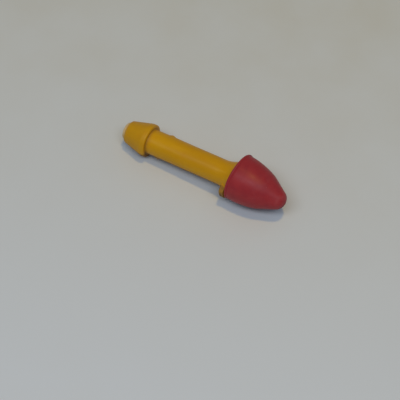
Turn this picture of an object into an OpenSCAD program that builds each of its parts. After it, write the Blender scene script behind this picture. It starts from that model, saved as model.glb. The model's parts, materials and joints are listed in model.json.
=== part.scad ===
// Spring-fired toy rocket: a one-piece moulded body and a soft nose cap pushed onto its spigot.
// It lies at rest on the plane z = 0, with its length along X and its nose towards +X.
// The origin is on that plane, at the middle of the rocket's outer box.

/* [Tail boss] */
// Diameter of the low boss on the tail end
boss_d = 4.2; // [3.0:0.1:5.0]
// Height of the boss behind the collar
boss_l = 0.9; // [0.6:0.1:1.5]
// Radius on the boss's rear edge
boss_edge_r = 0.4; // [0.2:0.05:0.5]

/* [Catch collar] */
// Diameter of the collar at its rear end
collar_rear_d = 5.4; // [5.2:0.1:6.6]
// Diameter of the collar at its land, which runs in a launching tube
collar_d = 8.0; // [7.4:0.1:8.6]
// Length of the collar's cone
cone_l = 4.9; // [3.5:0.1:6.5]
// Length of the straight land in front of the cone
land_l = 0.9; // [0.6:0.1:1.5]
// Radius on the collar's front edge, in front of the land
collar_edge_r = 0.25; // [0.1:0.05:0.4]

/* [Shaft] */
// Diameter of the shaft
shaft_d = 6.0; // [5.6:0.1:6.4]
// Length of the shaft and flare, from the collar's shoulder to the cap's mouth
shaft_l = 22.7; // [18:0.5:30]

/* [Moulding pips] */
// Diameter of each pip
pip_d = 1.1; // [0.8:0.1:1.4]
// Height of each pip above the shaft
pip_h = 0.25; // [0.1:0.05:0.35]
// Distance of the first pip from the collar's shoulder
pip_a_at = 4.4; // [2:0.1:6]
// Distance of the second pip, on the opposite side, from the collar's shoulder
pip_b_at = 3.0; // [2:0.1:6]
// Angle of the mould's parting plane from the horizontal
parting_roll = 31; // [0:1:60]

/* [Flare and spigot] */
// Length of the flare behind the cap's mouth
flare_l = 4.0; // [3:0.1:5]
// Diameter of the seat at the front of the flare
seat_d = 8.6; // [8.0:0.1:8.8]
// Thickness of the seat, which lies inside the cap's mouth
seat_l = 0.9; // [0.6:0.1:1.2]
// Diameter of the spigot that the cap is pushed onto
spigot_d = 3.2; // [2.8:0.1:3.4]
// Length of the spigot in front of the seat
spigot_l = 6.5; // [5:0.1:7]

/* [Ear] */
// Distance from the cap's mouth back to the rear face of the ear on the flare
ear_back = 1.9; // [1.7:0.1:2.4]
// Length of the ear along the shaft
ear_l = 1.0; // [0.8:0.1:1.0]
// Radius of the ear's outer face, from the shaft's line
ear_r = 5.2; // [4.6:0.1:5.4]
// Angle round the shaft that the ear spans
ear_span = 52; // [30:1:60]
// Angle of the ear's middle below the horizontal, on the side the cap turns to
ear_below = 10; // [0:1:20]

/* [Nose cap] */
// Length of the cap along its own axis
cap_l = 13.0; // [12:0.1:14]
// Diameter over the lip around the mouth
lip_d = 11.3; // [11.2:0.1:12]
// Radius of the lip's rounded section
lip_r = 0.35; // [0.25:0.05:0.45]
// Diameter of the cap just in front of the lip
mouth_d = 11.1; // [10.8:0.1:11.2]
// Distance from the mouth to the shoulder, where the nose starts to close
shoulder_at = 7.6; // [6.5:0.1:8]
// Diameter at the shoulder
shoulder_d = 8.7; // [8.4:0.1:9.4]
// How far the side swells out between the lip and the shoulder
belly = 0.3; // [0.1:0.05:0.5]
// Radius of the rounded tip
tip_r = 2.5; // [2:0.1:2.9]

/* [Lean of the cap] */
// How far the cap nods down from the shaft's line, in degrees
nod = 2.9; // [0:0.1:5]
// How far the cap turns to the side from the shaft's line, in degrees
turn = 5.6; // [0:0.1:6]
// Distance from the mouth to the point on the shaft's line that the cap leans about
lean_at = 5.0; // [4:0.1:6]

/* [Rest] */
// Depth of the flat that the soft lip has taken where it rests
rest_flat = 0.12; // [0.05:0.01:0.15]

/* [Fits] */
// Radial gap between the spigot and the cap's socket
socket_gap = 0.05; // [0.03:0.01:0.10]
// Radial gap between the seat and the recess in the cap's mouth
recess_gap = 0.3; // [0.3:0.05:0.4]
// Gap in front of the seat and in front of the spigot
end_gap = 0.05; // [0.03:0.01:0.10]

/* [Hidden] */
$fn = 96;
arc_steps = 16;     // straight pieces in each curved stretch of an outline
joined = 0.5;       // how far two joined solids run into each other
mouth_depth = 2;    // how far behind the mouth the recess is cut, to clear the whole lip
spigot_end_r = 0.3; // chamfer on the spigot's end
under = 1;          // thickness of the slab that cuts the rest flat

// Places along the shaft's line, counted from the collar's rear face
collar_l = cone_l + land_l + collar_edge_r;
mouth_at = collar_l + shaft_l;
seat_front = mouth_at + seat_l;
pivot = mouth_at + lean_at;

// The flare is a hollow arc that leaves the shaft's side smoothly
flare_rise = (seat_d - shaft_d) / 2;
flare_r = (flare_l * flare_l + flare_rise * flare_rise) / (2 * flare_rise);
flare_sweep = asin(flare_l / flare_r);

// The straight side of the nose runs from the cap's shoulder and meets the tip's sphere smoothly
tip_at = cap_l - tip_r;
tip_reach = norm([tip_at - shoulder_at, shoulder_d / 2]);
nose_slope = atan2(shoulder_d / 2, tip_at - shoulder_at) - asin(tip_r / tip_reach);

// The cap's own line and the middle of its mouth, on a level shaft
cap_line = [cos(nod) * cos(turn), -cos(nod) * sin(turn), -sin(nod)];
mouth_centre = [pivot, 0, 0] - lean_at * cap_line;
lip_ring_r = lip_d / 2 - lip_r;

// At rest the collar's land and the flat on the cap's lip both touch the plane, which tilts the shaft
function raised(p, tilt) = p[0] * sin(tilt) + p[2] * cos(tilt);
function forward(p, tilt) = p[0] * cos(tilt) - p[2] * sin(tilt);
function cap_rise(tilt) = asin(raised(cap_line, tilt));
function lip_depth(rise) = lip_ring_r * cos(rise) + lip_r * (1 - sin(rise));
function next_tilt(tilt) =
    asin((lip_depth(cap_rise(tilt)) - rest_flat - (collar_d / 2 + mouth_centre[2]) * cos(tilt))
        / (mouth_centre[0] - cone_l));
function settled(tilt, rounds) = rounds == 0 ? tilt : settled(next_tilt(tilt), rounds - 1);
rest_tilt = settled(0, 10);

// The outer box at rest, which places the origin
rear_x = -(boss_l - boss_edge_r) * cos(rest_tilt) - boss_edge_r
    - (boss_d / 2 - boss_edge_r) * sin(rest_tilt);
front_x = forward(mouth_centre + tip_at * cap_line, rest_tilt) + tip_r;
middle_y = mouth_centre[1] + lip_r * cap_line[1];
axis_height = collar_d / 2 * cos(rest_tilt) - cone_l * sin(rest_tilt);

// Turns an outline of [radius, distance] points about the X axis
module lathe() {
    rotate([0, 90, 0]) rotate_extrude() children();
}

// Puts a part that was drawn along X, from the collar's rear face, where it lies at rest
module at_rest() {
    translate([-(rear_x + front_x) / 2, -middle_y, axis_height])
        rotate([0, -rest_tilt, 0]) children();
}

// One round rod along X
module rod(from_x, to_x, radius) {
    translate([from_x, 0, 0]) rotate([0, 90, 0]) cylinder(h = to_x - from_x, r = radius);
}

// Outline of the boss, with a rounded rear edge
module boss_outline() {
    inner = boss_d / 2 - boss_edge_r;
    translate([inner, boss_edge_r - boss_l]) circle(r = boss_edge_r);
    translate([0, -boss_l]) square([inner, boss_l + joined]);
    translate([0, boss_edge_r - boss_l]) square([boss_d / 2, boss_l - boss_edge_r + joined]);
}

// Outline of the collar: a cone, a straight land and a rounded front edge over a flat shoulder
module collar_outline() {
    polygon([
        [0, 0],
        [collar_rear_d / 2, 0],
        [collar_d / 2, cone_l],
        [collar_d / 2, cone_l + land_l],
        [collar_d / 2 - collar_edge_r, cone_l + land_l],
        [collar_d / 2 - collar_edge_r, collar_l],
        [0, collar_l]
    ]);
    translate([collar_d / 2 - collar_edge_r, cone_l + land_l]) circle(r = collar_edge_r);
}

// Outline of the shaft, the hollow flare and the seat
module shaft_outline() {
    flare = [for (i = [0:arc_steps]) let (a = flare_sweep * i / arc_steps)
        [shaft_d / 2 + flare_r * (1 - cos(a)), mouth_at - flare_l + flare_r * sin(a)]];
    polygon(concat(
        [[0, collar_l - joined], [shaft_d / 2, collar_l - joined]],
        flare,
        [[seat_d / 2, seat_front], [0, seat_front]]
    ));
}

// Outline of the spigot, with a chamfered end
module spigot_outline() {
    tip = seat_front + spigot_l;
    polygon([
        [0, seat_front - joined],
        [spigot_d / 2, seat_front - joined],
        [spigot_d / 2, tip - spigot_end_r],
        [spigot_d / 2 - spigot_end_r, tip],
        [0, tip]
    ]);
}

// One pip on the shaft's parting line, at an angle about the shaft
module pip(distance, angle) {
    rotate([angle, 0, 0])
        translate([collar_l + distance, shaft_d / 2 + pip_h - pip_d / 2, 0])
        sphere(d = pip_d);
}

// The ear that stands on the flare behind the cap's lip
module ear() {
    translate([mouth_at - ear_back, 0, 0]) rotate([0, 90, 0])
        rotate([0, 0, ear_below - 90 - ear_span / 2])
        rotate_extrude(angle = ear_span)
        translate([shaft_d / 2 - joined, 0])
        square([ear_r - shaft_d / 2 + joined, ear_l]);
}

module rocket_body() {
    color("goldenrod") at_rest() {
        lathe() boss_outline();
        lathe() collar_outline();
        lathe() shaft_outline();
        lathe() spigot_outline();
        pip(pip_a_at, parting_roll);
        pip(pip_b_at, parting_roll + 180);
        ear();
    }
}

// Outline of the cap's outside: a lip, a swelling side, a straight nose and a round tip
module cap_outline() {
    side_from = 2 * lip_r;
    side = [for (i = [0:arc_steps]) let (u = i / arc_steps)
        [mouth_d / 2 * (1 - u) + shoulder_d / 2 * u + 4 * belly * u * (1 - u),
         side_from * (1 - u) + shoulder_at * u]];
    tip = [for (i = [0:arc_steps]) let (a = (90 - nose_slope) * (1 - i / arc_steps))
        [tip_r * sin(a), tip_at + tip_r * cos(a)]];
    polygon(concat([[0, 0], [lip_ring_r, 0], [mouth_d / 2, lip_r]], side, tip));
    translate([lip_ring_r, lip_r]) circle(r = lip_r);
}

// The cap as moulded, hollow behind for the seat and the spigot
module moulded_cap() {
    socket_end = seat_front + spigot_l + end_gap;
    difference() {
        translate([pivot, 0, 0]) rotate([0, nod, -turn]) translate([-lean_at, 0, 0])
            lathe() cap_outline();
        rod(mouth_at - mouth_depth, seat_front + end_gap, seat_d / 2 + recess_gap);
        rod(seat_front, socket_end, spigot_d / 2 + socket_gap);
    }
}

module nose_cap() {
    color("firebrick") difference() {
        at_rest() moulded_cap();
        translate([0, -lip_d, -under]) cube([front_x, lip_d * 2, under]);
    }
}

rocket_body();
nose_cap();
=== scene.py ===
"""Looks of the spring-fired toy rocket: a moulded yellow body and a soft red nose cap, lying on pale paper.

Lengths are in metres. A point of a piece is first worked out along the rocket's own line, as a distance in
front of the collar's rear face and a radius, and is then laid where the frame has the rocket at rest.
"""
import json
import math

import bmesh
import bpy
from mathutils import Matrix, Vector, noise


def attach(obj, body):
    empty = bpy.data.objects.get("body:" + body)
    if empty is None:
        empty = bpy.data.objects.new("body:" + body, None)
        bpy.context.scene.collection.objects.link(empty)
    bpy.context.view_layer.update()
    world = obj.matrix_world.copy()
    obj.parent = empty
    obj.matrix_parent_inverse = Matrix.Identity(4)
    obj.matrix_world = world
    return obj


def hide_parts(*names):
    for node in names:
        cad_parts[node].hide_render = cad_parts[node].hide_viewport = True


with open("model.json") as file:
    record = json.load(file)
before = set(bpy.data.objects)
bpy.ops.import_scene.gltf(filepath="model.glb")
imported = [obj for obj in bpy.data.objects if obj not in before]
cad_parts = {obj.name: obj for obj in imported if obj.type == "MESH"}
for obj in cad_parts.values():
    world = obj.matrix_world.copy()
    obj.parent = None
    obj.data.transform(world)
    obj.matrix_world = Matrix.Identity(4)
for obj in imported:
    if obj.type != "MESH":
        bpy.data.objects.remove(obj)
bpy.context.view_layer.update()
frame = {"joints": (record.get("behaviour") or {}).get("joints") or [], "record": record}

MM = 0.001

# The body's own dimensions, as the frame's solid has them, with the ear 0.25 mm longer, up to the cap's lip
BOSS_R, BOSS_L = 2.1 * MM, 0.9 * MM
COLLAR_REAR_R, COLLAR_R = 2.7 * MM, 4.0 * MM
CONE_L, LAND_L, COLLAR_EDGE = 4.9 * MM, 0.9 * MM, 0.25 * MM
SHAFT_R, SHAFT_L = 3.0 * MM, 22.7 * MM
FLARE_L, SEAT_R, SEAT_L = 4.0 * MM, 4.3 * MM, 0.9 * MM
EAR_BACK, EAR_L, EAR_R, EAR_FROM, EAR_SPAN = 1.9 * MM, 1.25 * MM, 5.2 * MM, 164.0, 52.0
SPIGOT_R, SPIGOT_L = 1.6 * MM, 6.5 * MM
PIP_W, PIP_H = 0.45 * MM, 0.25 * MM
PIP_A_AT, PIP_B_AT, PARTING_ROLL = 4.4 * MM, 3.0 * MM, 31.0

# Fillets of the body, from its tail to the end of its spigot
BOSS_EDGE, BOSS_ROOT, COLLAR_REAR_EDGE, CONE_EDGE = 0.4 * MM, 0.12 * MM, 0.22 * MM, 0.6 * MM
SHOULDER_EDGE, SHAFT_ROOT, SEAT_EDGE, SPIGOT_EDGE = 0.35 * MM, 0.15 * MM, 0.12 * MM, 0.3 * MM

# What moulding leaves on both pieces: heights in metres, widths of the seams in radians
BODY_SEAM_H, BODY_SEAM_W, BODY_WANDER, SPRUE_DEPTH = 0.035 * MM, 0.035, 0.025 * MM, 0.10 * MM
CAP_SEAM_H, CAP_SEAM_W, CAP_WANDER, LIP_PROUD, LIP_WANDER = 0.02 * MM, 0.03, 0.05 * MM, 0.08 * MM, 0.05 * MM

# The cap's own dimensions
CAP_L, LIP_R, LIP_ROUND, MOUTH_R = 13.0 * MM, 5.65 * MM, 0.35 * MM, 5.55 * MM
SHOULDER_AT, SHOULDER_R, BELLY, TIP_R = 7.6 * MM, 4.35 * MM, 0.3 * MM, 2.5 * MM
NOD, TURN, LEAN_AT = 2.9, 5.6, 5.0 * MM
SOCKET_GAP, RECESS_GAP, END_GAP = 0.05 * MM, 0.3 * MM, 0.05 * MM
RECESS_IN, RECESS_EDGE = 0.45 * MM, 0.1 * MM

COLLAR_L = CONE_L + LAND_L + COLLAR_EDGE
MOUTH_AT = COLLAR_L + SHAFT_L
SEAT_FRONT = MOUTH_AT + SEAT_L
SPIGOT_END = SEAT_FRONT + SPIGOT_L

# The photograph's view
CAMERA_TURN, CAMERA_ELEVATION = 30.4, 55.5
CAMERA_DISTANCE, CAMERA_LENS = 0.313, 122.5
AIM = Vector((2.4 * MM, -6.65 * MM, 0))

# How finely the pieces are drawn
SEGMENTS, SHARP_FROM = 144, 38.0
OUTLINE_STEP, MOUTH_STEP = 0.25 * MM, 0.4 * MM


def mount(name):
    return next(m for m in frame["record"]["mounts"] if m["name"] == name)


def rocket_frame():
    """Matrix that lays a point drawn along X, from the collar's rear face, where the rocket lies."""
    line = Vector(frame["joints"][0]["axis"]).normalized()
    rear = Vector(mount("tail_face")["pos_m"]) + line * BOSS_L
    tilt = Matrix.Rotation(-math.asin(line.z), 4, "Y")
    return Matrix.Translation(rear) @ tilt


def cap_frame():
    """The same for the cap, which leans about a point on the shaft's line."""
    pivot = Matrix.Translation((MOUTH_AT + LEAN_AT, 0, 0))
    lean = Matrix.Rotation(math.radians(-TURN), 4, "Z") @ Matrix.Rotation(math.radians(NOD), 4, "Y")
    return rocket_frame() @ pivot @ lean @ Matrix.Translation((-LEAN_AT, 0, 0))


# ---------------------------------------------------------------- outlines and turned meshes

def rounded(corners, steps=6):
    """Outline through corners (distance, radius, fillet), with each fillet drawn as an arc."""
    points = [Vector(corners[0][:2])]
    for before, here, after in zip(corners, corners[1:], corners[2:]):
        corner = Vector(here[:2])
        fillet = here[2] if len(here) > 2 else 0
        if fillet == 0:
            points.append(corner)
            continue
        to_last = (Vector(before[:2]) - corner).normalized()
        to_next = (Vector(after[:2]) - corner).normalized()
        half = to_last.angle(to_next) / 2
        centre = corner + (to_last + to_next).normalized() * (fillet / math.sin(half))
        start = corner + to_last * (fillet / math.tan(half)) - centre
        end = corner + to_next * (fillet / math.tan(half)) - centre
        turn = start.angle_signed(end)
        points += [centre + Matrix.Rotation(-turn * i / steps, 2) @ start for i in range(steps + 1)]
    points.append(Vector(corners[-1][:2]))
    return points


def spaced(points, step):
    """The same outline with long straight pieces divided, so that fine shaping has points to move."""
    out = [points[0]]
    for a, b in zip(points, points[1:]):
        pieces = max(1, math.ceil((b - a).length / step))
        out += [a.lerp(b, i / pieces) for i in range(1, pieces + 1)]
    return out


def turned(name, stretches):
    """Mesh turned about the X axis from stretches of outline, (points, place, shape), joined end to end."""
    bm = bmesh.new()
    rings = []
    for outline, place, shape in stretches:
        for point in outline:
            if point.y < 1e-7:
                rings.append([bm.verts.new(place @ Vector((point.x, 0, 0)))])
                continue
            ring = []
            for i in range(SEGMENTS):
                angle = 2 * math.pi * i / SEGMENTS
                x, r = (point.x, point.y) if shape is None else shape(point.x, point.y, angle)
                ring.append(bm.verts.new(place @ Vector((x, r * math.cos(angle), r * math.sin(angle)))))
            rings.append(ring)
    for first, second in zip(rings, rings[1:]):
        for i in range(SEGMENTS):
            j = (i + 1) % SEGMENTS
            corners = [
                first[i % len(first)], first[j % len(first)],
                second[j % len(second)], second[i % len(second)],
            ]
            face = list(dict.fromkeys(corners))
            if len(face) > 2:
                bm.faces.new(face)
    bmesh.ops.recalc_face_normals(bm, faces=bm.faces)
    mesh = bpy.data.meshes.new(name)
    bm.to_mesh(mesh)
    bm.free()
    mesh.polygons.foreach_set("use_smooth", [True] * len(mesh.polygons))
    mesh.set_sharp_from_angle(angle=math.radians(SHARP_FROM))
    piece = bpy.data.objects.new(name, mesh)
    bpy.context.scene.collection.objects.link(piece)
    return piece


def ridge(angle, centre, width):
    """1 on a line along the rocket at an angle round it, falling to 0 a width away."""
    away = math.atan2(math.sin(angle - centre), math.cos(angle - centre))
    return max(0.0, 1 - abs(away) / width) ** 2


def bump(distance, width):
    return math.exp(-(distance / width) ** 2)


def rise(value, low, high):
    """0 below low, 1 above high, and smooth between."""
    t = min(1.0, max(0.0, (value - low) / (high - low)))
    return t * t * (3 - 2 * t)


def ear(x, angle):
    """1 on the small ear that stands on the flare just behind the cap's lip, 0 elsewhere."""
    back = MOUTH_AT - EAR_BACK
    front = back + EAR_L
    degrees = math.degrees(angle) - EAR_FROM
    around = rise(degrees, 0, 15) * (1 - rise(degrees, EAR_SPAN - 5, EAR_SPAN + 5))
    along = rise(x, back - 0.25 * MM, back + 0.15 * MM) * (1 - rise(x, front, front + 0.15 * MM))
    return around * along


def body_shape(x, r, angle):
    """Small truths of the moulding: a parting seam, two pips, the ear, a sprue mark and unevenness."""
    roll = math.radians(PARTING_ROLL)
    outer = r > BOSS_R * 0.98 and x < MOUTH_AT
    if outer:
        r += BODY_SEAM_H * (ridge(angle, roll, BODY_SEAM_W) + ridge(angle, roll + math.pi, BODY_SEAM_W))
        if COLLAR_L + 0.5 * MM < x < MOUTH_AT - FLARE_L:
            for at, side in ((PIP_A_AT, roll), (PIP_B_AT, roll + math.pi)):
                sideways = math.atan2(math.sin(angle - side), math.cos(angle - side)) * r
                along = x - COLLAR_L - at
                r += PIP_H * bump(math.hypot(sideways, along * 0.8), PIP_W)
        r += BODY_WANDER * noise.noise(Vector((x * 160, math.cos(angle) * 1.3, math.sin(angle) * 1.3)))
        if COLLAR_L < x:
            r += (EAR_R - r) * ear(x, angle)
    elif x < -BOSS_L * 0.9:
        x -= SPRUE_DEPTH * bump(r, 0.7 * MM)
    return x, r


def cap_shape(x, r, angle):
    """Small truths of the soft cap: a lip that stands proud on one side, a faint seam and a lumpy skin."""
    roll = math.radians(PARTING_ROLL)
    r += CAP_SEAM_H * (ridge(angle, roll, CAP_SEAM_W) + ridge(angle, roll + math.pi, CAP_SEAM_W))
    r += CAP_WANDER * noise.noise(Vector((x * 130 + 7, math.cos(angle) * 1.6, math.sin(angle) * 1.6)))
    on_lip = 1 - rise(x, LIP_ROUND, 3.5 * LIP_ROUND)
    from_top = 0.5 - 0.5 * math.cos(angle - roll)
    r += LIP_PROUD * on_lip * (1 - rise(from_top, 0.05, 0.3))
    if x < 2 * LIP_ROUND:
        x += LIP_WANDER * noise.noise(Vector((3, math.cos(angle) * 2.5, math.sin(angle) * 2.5)))
    return x, r


def body_outline():
    """Half section of the body along the shaft's line, from the tail to the end of the spigot."""
    flare_rise = SEAT_R - SHAFT_R
    flare_radius = (FLARE_L ** 2 + flare_rise ** 2) / (2 * flare_rise)
    sweep = math.asin(FLARE_L / flare_radius)
    back = rounded([
        (-BOSS_L, 0),
        (-BOSS_L, BOSS_R, BOSS_EDGE),
        (0, BOSS_R, BOSS_ROOT),
        (0, COLLAR_REAR_R, COLLAR_REAR_EDGE),
        (CONE_L, COLLAR_R, CONE_EDGE),
        (COLLAR_L, COLLAR_R, SHOULDER_EDGE),
        (COLLAR_L, SHAFT_R, SHAFT_ROOT),
        (MOUTH_AT - FLARE_L, SHAFT_R),
    ])
    flare = [
        Vector((
            MOUTH_AT - FLARE_L + flare_radius * math.sin(sweep * i / 20),
            SHAFT_R + flare_radius * (1 - math.cos(sweep * i / 20)),
        ))
        for i in range(1, 20)
    ]
    front = rounded([
        (MOUTH_AT, SEAT_R),
        (SEAT_FRONT, SEAT_R, SEAT_EDGE),
        (SEAT_FRONT, SPIGOT_R, SEAT_EDGE),
        (SPIGOT_END, SPIGOT_R, SPIGOT_EDGE),
        (SPIGOT_END, 0),
    ])
    return spaced(back + flare + front, OUTLINE_STEP)


def cap_outline():
    """Outside of the cap from its lip to its tip, along the cap's own line."""
    tip_at = CAP_L - TIP_R
    reach = math.hypot(tip_at - SHOULDER_AT, SHOULDER_R)
    slope = math.atan2(SHOULDER_R, tip_at - SHOULDER_AT) - math.asin(TIP_R / reach)
    lip = [
        Vector((LIP_ROUND - LIP_ROUND * math.cos(a), LIP_R - LIP_ROUND + LIP_ROUND * math.sin(a)))
        for a in (math.radians(150 * i / 10) for i in range(11))
    ]
    start_of_tip = Vector((tip_at + TIP_R * math.sin(slope), TIP_R * math.cos(slope)))
    side = []
    for i in range(1, 33):
        u = i / 32
        swell = 4 * BELLY * u * (1 - u)
        side.append(Vector((
            (1 - u) * 2 * LIP_ROUND + u * SHOULDER_AT,
            (1 - u) * MOUTH_R + u * SHOULDER_R + swell,
        )))
    side = spaced(side + [start_of_tip], OUTLINE_STEP)
    for _ in range(8):
        radii = [point.y for point in side]
        for point, before, after in zip(side[1:-1], radii, radii[2:]):
            point.y = (before + 2 * point.y + after) / 4
    tip = []
    for i in range(1, 25):
        a = (math.pi / 2 - slope) * (1 - i / 24)
        tip.append(Vector((tip_at + TIP_R * math.cos(a), TIP_R * math.sin(a))))
    tip[-1].y = 0
    return spaced(lip + side + tip, OUTLINE_STEP)


def mouth_outline():
    """Inside of the cap, along the shaft's line: the recess round the seat and the socket."""
    recess_end = SEAT_FRONT + END_GAP
    socket_end = SPIGOT_END + END_GAP
    socket_r = SPIGOT_R + SOCKET_GAP
    return spaced(rounded([
        (MOUTH_AT + RECESS_IN, SEAT_R + RECESS_GAP),
        (recess_end, SEAT_R + RECESS_GAP, RECESS_EDGE),
        (recess_end, socket_r),
        (socket_end, socket_r),
        (socket_end, 0),
    ]), MOUTH_STEP)


# ---------------------------------------------------------------- materials

class Look:
    """A node material, built up from its shader."""

    def __init__(self, name, specular):
        self.material = bpy.data.materials.new(name)
        self.material.use_nodes = True
        self.tree = self.material.node_tree
        self.shader = self.tree.nodes["Principled BSDF"]
        self.shader.inputs["Specular IOR Level"].default_value = specular
        self.place = self.tree.nodes.new("ShaderNodeTexCoord").outputs["Object"]

    def feed(self, target, value):
        if isinstance(value, bpy.types.NodeSocket):
            self.tree.links.new(value, target)
        else:
            target.default_value = value

    def grain(self, scale, detail=2.0, stretch=None, roughness=0.5):
        """Noise with features about 1 / scale metres long; stretch scales the three directions."""
        where = self.place
        if stretch is not None:
            mapping = self.tree.nodes.new("ShaderNodeMapping")
            mapping.inputs["Scale"].default_value = stretch
            self.tree.links.new(where, mapping.inputs["Vector"])
            where = mapping.outputs["Vector"]
        noise_node = self.tree.nodes.new("ShaderNodeTexNoise")
        noise_node.inputs["Scale"].default_value = scale
        noise_node.inputs["Detail"].default_value = detail
        noise_node.inputs["Roughness"].default_value = roughness
        self.tree.links.new(where, noise_node.inputs["Vector"])
        return noise_node.outputs["Fac"]

    def specks(self, scale, size):
        """Round specks on a random lattice: 1 at the middle of a speck, 0 outside it."""
        cells = self.tree.nodes.new("ShaderNodeTexVoronoi")
        cells.inputs["Scale"].default_value = scale
        self.tree.links.new(self.place, cells.inputs["Vector"])
        return self.span(cells.outputs["Distance"], size, 0.0)

    def span(self, value, low, high, to_low=0.0, to_high=1.0):
        ranger = self.tree.nodes.new("ShaderNodeMapRange")
        ranger.inputs["From Min"].default_value = low
        ranger.inputs["From Max"].default_value = high
        ranger.inputs["To Min"].default_value = to_low
        ranger.inputs["To Max"].default_value = to_high
        self.feed(ranger.inputs["Value"], value)
        return ranger.outputs["Result"]

    def math(self, operation, a, b):
        vectors = operation == "DOT_PRODUCT"
        sum_node = self.tree.nodes.new("ShaderNodeVectorMath" if vectors else "ShaderNodeMath")
        sum_node.operation = operation
        self.feed(sum_node.inputs[0], a)
        self.feed(sum_node.inputs[1], b)
        return sum_node.outputs["Value"]

    def mix(self, factor, a, b):
        mixer = self.tree.nodes.new("ShaderNodeMix")
        mixer.data_type = "RGBA"
        self.feed(mixer.inputs["Factor"], factor)
        self.feed(mixer.inputs[6], a if isinstance(a, bpy.types.NodeSocket) else (*a, 1))
        self.feed(mixer.inputs[7], b if isinstance(b, bpy.types.NodeSocket) else (*b, 1))
        return mixer.outputs[2]

    def painted(self, name):
        """A value that the mesh carries at its points."""
        reader = self.tree.nodes.new("ShaderNodeAttribute")
        reader.attribute_name = name
        return reader.outputs["Fac"]

    def broken(self, name, grain, low, high, least):
        """A painted value, broken up by grain so that it has no smooth edge."""
        return self.math("MULTIPLY", self.painted(name), self.span(grain, low, high, least, 1))

    def finish(self, colour, roughness, height, distance):
        """Feeds the shader, with a fine relief of height that stands up to distance metres."""
        self.feed(self.shader.inputs["Base Color"], colour)
        self.feed(self.shader.inputs["Roughness"], roughness)
        relief = self.tree.nodes.new("ShaderNodeBump")
        relief.inputs["Distance"].default_value = distance
        relief.inputs["Strength"].default_value = 0.6
        self.feed(relief.inputs["Height"], height)
        self.tree.links.new(relief.outputs["Normal"], self.shader.inputs["Normal"])
        return self.material


# Linear colours
YELLOWS = {
    "deep": (0.69, 0.315, 0.0),
    "pale": (0.80, 0.385, 0.0),
    "cloud": (0.70, 0.275, 0.0),
    "drag": (0.90, 0.50, 0.03),
    "speck": (0.30, 0.14, 0.02),
    # Painted shade
    "painted_shade": (0.22, 0.105, 0.03),
    "worn": (0.80, 0.60, 0.33),
}
REDS = {
    "deep": (0.385, 0.030, 0.034),
    "pale": (0.445, 0.038, 0.041),
    "patch": (0.31, 0.022, 0.034),
    "rubbed": (0.50, 0.12, 0.12),
    "lint": (0.62, 0.36, 0.34),
    # Painted shade
    "painted_shade": (0.12, 0.022, 0.024),
}
PAPERS = {
    # The far and near tones paint the fall of light across the floor
    "far": (0.69, 0.64, 0.54),
    "near": (0.80, 0.80, 0.81),
    "fibre": (0.78, 0.775, 0.76),
}

# How far each surface's fine relief stands, in metres
PLASTIC_RELIEF, RUBBER_RELIEF, PAPER_RELIEF = 0.03 * MM, 0.035 * MM, 0.01 * MM


def yellow_plastic():
    """Moulded polyethylene: satin yellow, with flow mottle, drag lines, specks, handling marks and painted
    shade in crevices and underneath.
    """
    look = Look("yellow_plastic", 0.27)
    flow = look.grain(190, 3, (0.35, 1, 1))
    colour = look.mix(look.span(flow, 0.3, 0.7), YELLOWS["deep"], YELLOWS["pale"])
    cloud = look.grain(620, 4)
    colour = look.mix(look.span(cloud, 0.52, 0.75, 0, 0.35), colour, YELLOWS["cloud"])
    drag = look.grain(900, 3, (0.06, 1, 1))
    colour = look.mix(look.span(drag, 0.58, 0.8, 0, 0.35), colour, YELLOWS["drag"])
    specks = look.math("MULTIPLY", look.specks(1500, 0.13), look.span(cloud, 0.54, 0.66, 0, 0.6))
    colour = look.mix(specks, colour, YELLOWS["speck"])
    # Painted shade: darkens the crevices, the ear and the underside
    painted_shade = look.broken("painted_shade", look.grain(1500, 4), 0.25, 0.6, 0.6)
    colour = look.mix(painted_shade, colour, YELLOWS["painted_shade"])
    worn = look.broken("worn", look.grain(1300, 4), 0.3, 0.6, 0.55)
    colour = look.mix(worn, colour, YELLOWS["worn"])
    satin = look.span(look.grain(420, 4), 0.3, 0.7, 0.30, 0.46)
    satin = look.math("ADD", satin, look.span(drag, 0.55, 0.8, 0, 0.2))
    roughness = look.math("ADD", satin, look.span(look.math("MAXIMUM", painted_shade, worn), 0, 1, 0, 0.25))
    fine = look.grain(3200, 3)
    height = look.math("ADD", look.math("MULTIPLY", drag, 0.9), look.math("MULTIPLY", fine, 0.5))
    return look.finish(colour, roughness, height, PLASTIC_RELIEF)


def red_rubber():
    """Soft moulded rubber: a dull red with a scuffed nose and shoulder, lint, painted shade inside the mouth
    and underneath, and fine grain.
    """
    look = Look("red_rubber", 0.2)
    cloud = look.grain(170, 4)
    colour = look.mix(look.span(cloud, 0.3, 0.7), REDS["deep"], REDS["pale"])
    patch = look.grain(520, 5)
    colour = look.mix(look.span(patch, 0.45, 0.75, 0, 0.5), colour, REDS["patch"])
    rubbed = look.broken("rubbed", look.grain(900, 5), 0.42, 0.7, 0)
    colour = look.mix(look.math("MULTIPLY", rubbed, 0.4), colour, REDS["rubbed"])
    lint = look.math("MULTIPLY", look.specks(700, 0.10), look.span(patch, 0.5, 0.62, 0, 0.35))
    colour = look.mix(lint, colour, REDS["lint"])
    # Painted shade: darkens the mouth and the underside
    painted_shade = look.broken("painted_shade", look.grain(1500, 4), 0.25, 0.6, 0.4)
    colour = look.mix(painted_shade, colour, REDS["painted_shade"])
    satin = look.span(look.grain(480, 4), 0.3, 0.7, 0.34, 0.46)
    roughness = look.math("ADD", satin, look.math("MULTIPLY", rubbed, 0.22))
    coarse = look.math("MULTIPLY", look.grain(700, 4), 0.8)
    fine = look.math("MULTIPLY", look.grain(2600, 4), 0.55)
    height = look.math("ADD", coarse, fine)
    return look.finish(colour, roughness, height, RUBBER_RELIEF)


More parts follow.
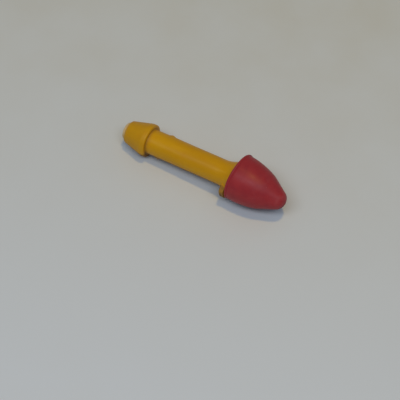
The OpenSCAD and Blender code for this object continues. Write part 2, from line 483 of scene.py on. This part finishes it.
def pale_paper():
    """Plain paper with a painted fall of light: darker and warmer at the far side, brighter and cooler at
    the near one.
    """
    look = Look("pale_paper", 0.2)
    # Painted light: the paper goes from a dim warm far side to a bright cool near side
    across = look.math("DOT_PRODUCT", look.place, (0.25, -0.97, 0.0))
    painted_light_falloff = look.mix(look.span(across, -0.07, 0.06), PAPERS["far"], PAPERS["near"])
    colour = look.mix(look.span(look.grain(60, 4), 0.35, 0.65, 0, 0.3), painted_light_falloff, PAPERS["fibre"])
    height = look.grain(2600, 4)
    roughness = look.span(look.grain(900, 3), 0.3, 0.7, 0.8, 0.95)
    return look.finish(colour, roughness, height, PAPER_RELIEF)


# ---------------------------------------------------------------- the rocket

def rested(piece):
    """Flattens what would lie below the plane that the rocket rests on."""
    for vertex in piece.data.vertices:
        vertex.co.z = max(vertex.co.z, 0.0)
    piece.data.update()


body = turned("moulded_body", [(body_outline(), rocket_frame(), body_shape)])
cap = turned("soft_nose_cap", [
    (cap_outline()[::-1], cap_frame(), cap_shape),
    (mouth_outline(), rocket_frame(), None),
])
rested(body)
rested(cap)


def paint(piece, name, place, amount):
    """Gives each point a value worked out from its distance along a line, its radius and its angle."""
    values = piece.data.attributes.new(name, "FLOAT", "POINT").data
    to_line = place.inverted()
    for vertex, value in zip(piece.data.vertices, values):
        x, y, z = to_line @ vertex.co
        value.value = amount(x, math.hypot(y, z), math.atan2(z, y))


def body_painted_shade(x, r, angle):
    """Painted shade: darker in the crevices before and behind the collar, under the cap's lip, on the ear
    and along the underside; the whole collar is a little darker too.
    """
    past_seat = rise(x, MOUTH_AT, MOUTH_AT + 0.2 * MM)
    near_shaft = 1 - rise(r, SHAFT_R + 0.1 * MM, SHAFT_R + 0.5 * MM)
    near_boss = 1 - rise(r, COLLAR_REAR_R - 0.1 * MM, COLLAR_REAR_R + 0.1 * MM)
    # Painted shade in the crevices at the collar's front face and at the boss's root
    at_collar = bump(x - COLLAR_L, 0.45 * MM) * near_shaft
    at_boss = bump(x, 0.25 * MM) * near_boss
    # Painted shade: the ear is darkened to a shaded brown
    on_ear = rise(ear(x, angle % (2 * math.pi)), 0.02, 0.3)
    # Painted shade on the flare just under the cap's lip, less where the cap hides it
    hidden = rise(x, MOUTH_AT + 0.2 * MM, MOUTH_AT + 0.7 * MM)
    at_cap = rise(x, MOUTH_AT - 0.3 * MM, MOUTH_AT) * (1 - 0.7 * hidden)
    # Painted shade along the underside, up to the seat
    below = 0.9 * rise(-math.sin(angle), 0.08, 0.42) * (1 - past_seat)
    # A little darker over the collar and boss, fading out along the first 1.5 mm of the shaft
    darker_collar = 0.1 * (1 - rise(x, COLLAR_L, COLLAR_L + 1.5 * MM))
    return min(1.0, darker_collar + 0.5 * at_collar + 0.5 * at_boss + 0.8 * at_cap + 0.8 * on_ear + below)


def body_worn(x, r, angle):
    """The boss is whitened where the spring strikes it, and the collar's rear edge is rubbed a little."""
    on_boss = 0.8 * (1 - rise(x, -0.35 * MM, 0.05 * MM)) * (1 - rise(r, BOSS_R, BOSS_R + 0.1 * MM))
    on_rear = 0.12 * bump(x, 0.3 * MM) * rise(r, COLLAR_REAR_R - 0.2 * MM, COLLAR_REAR_R)
    return min(1.0, on_boss + on_rear)


def cap_painted_shade(x, r, angle):
    """Painted shade: darker inside the mouth and along the underside."""
    inside = 1 - rise(r, SEAT_R + 0.4 * MM, SEAT_R + 0.7 * MM) if x < 2.5 * MM else 0
    # Painted shade along the underside
    below = 0.9 * rise(-math.sin(angle), 0.2, 0.55)
    return min(1.0, 0.7 * inside + below)


def cap_rubbed(x, r, angle):
    """The tip, the shoulder and the lip's edge are rubbed by knocks and by the table."""
    tip = 0.7 * rise(x, CAP_L - 3.5 * MM, CAP_L - 0.6 * MM)
    shoulder = 0.3 * bump(x - SHOULDER_AT, 1.3 * MM)
    lip = 0.4 * (1 - rise(x, 0.1 * MM, 0.6 * MM))
    return min(1.0, tip + shoulder + lip)


paint(body, "painted_shade", rocket_frame(), body_painted_shade)
paint(body, "worn", rocket_frame(), body_worn)
paint(cap, "painted_shade", cap_frame(), cap_painted_shade)
paint(cap, "rubbed", cap_frame(), cap_rubbed)
body.data.materials.append(yellow_plastic())
cap.data.materials.append(red_rubber())
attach(body, "body")
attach(cap, "cap")
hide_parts("rocket_body")
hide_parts("nose_cap")


# ---------------------------------------------------------------- floor, light and camera

FLOOR_HALF = 0.6

# Each light: its turn round the rocket, elevation and distance; its width and height; its watts; its colour
LAMP = ((122, 84, 0.8), (0.06, 0.06), 1.08, (1.08, 0.77, 0.22))
WINDOW = ((20, 65, 1.1), (1.3, 0.30), 4.1, (0.92, 1.03, 1.20))
SKY_COLOUR, SKY_STRENGTH = (0.72, 1.02, 1.36, 1), 0.16
SENSOR_WIDTH, CLIP = 36, (0.01, 10)


def paper_floor():
    mesh = bpy.data.meshes.new("paper_floor")
    half = FLOOR_HALF
    corners = [(-half, -half, 0), (half, -half, 0), (half, half, 0), (-half, half, 0)]
    mesh.from_pydata(corners, [], [(0, 1, 2, 3)])
    floor = bpy.data.objects.new("paper_floor", mesh)
    bpy.context.scene.collection.objects.link(floor)
    floor.data.materials.append(pale_paper())


def area_light(name, position, size, power, colour):
    """Area light that looks at the rocket."""
    place = away(*position)
    light = bpy.data.lights.new(name, "AREA")
    light.shape = "RECTANGLE"
    light.size, light.size_y = size
    light.energy = power
    light.color = colour
    lamp = bpy.data.objects.new(name, light)
    lamp.location = place
    lamp.rotation_mode = "QUATERNION"
    lamp.rotation_quaternion = place.to_track_quat("Z", "Y")
    bpy.context.scene.collection.objects.link(lamp)


def away(turn, elevation, distance):
    a, e = math.radians(turn), math.radians(elevation)
    return distance * Vector((math.sin(a) * math.cos(e), -math.cos(a) * math.cos(e), math.sin(e)))


paper_floor()
area_light("lamp", *LAMP)
area_light("window", *WINDOW)
world = bpy.data.worlds.new("room")
world.use_nodes = True
sky = world.node_tree.nodes["Background"]
sky.inputs["Color"].default_value = SKY_COLOUR
sky.inputs["Strength"].default_value = SKY_STRENGTH
bpy.context.scene.world = world
bpy.context.scene.view_settings.view_transform = "Standard"

camera = bpy.data.objects.new("camera", bpy.data.cameras.new("camera"))
camera.data.sensor_width = SENSOR_WIDTH
camera.data.lens = CAMERA_LENS
camera.data.clip_start, camera.data.clip_end = CLIP
back = away(CAMERA_TURN, CAMERA_ELEVATION, CAMERA_DISTANCE)
camera.location = AIM + back
camera.rotation_mode = "QUATERNION"
camera.rotation_quaternion = back.to_track_quat("Z", "Y")
bpy.context.scene.collection.objects.link(camera)
bpy.context.scene.camera = camera
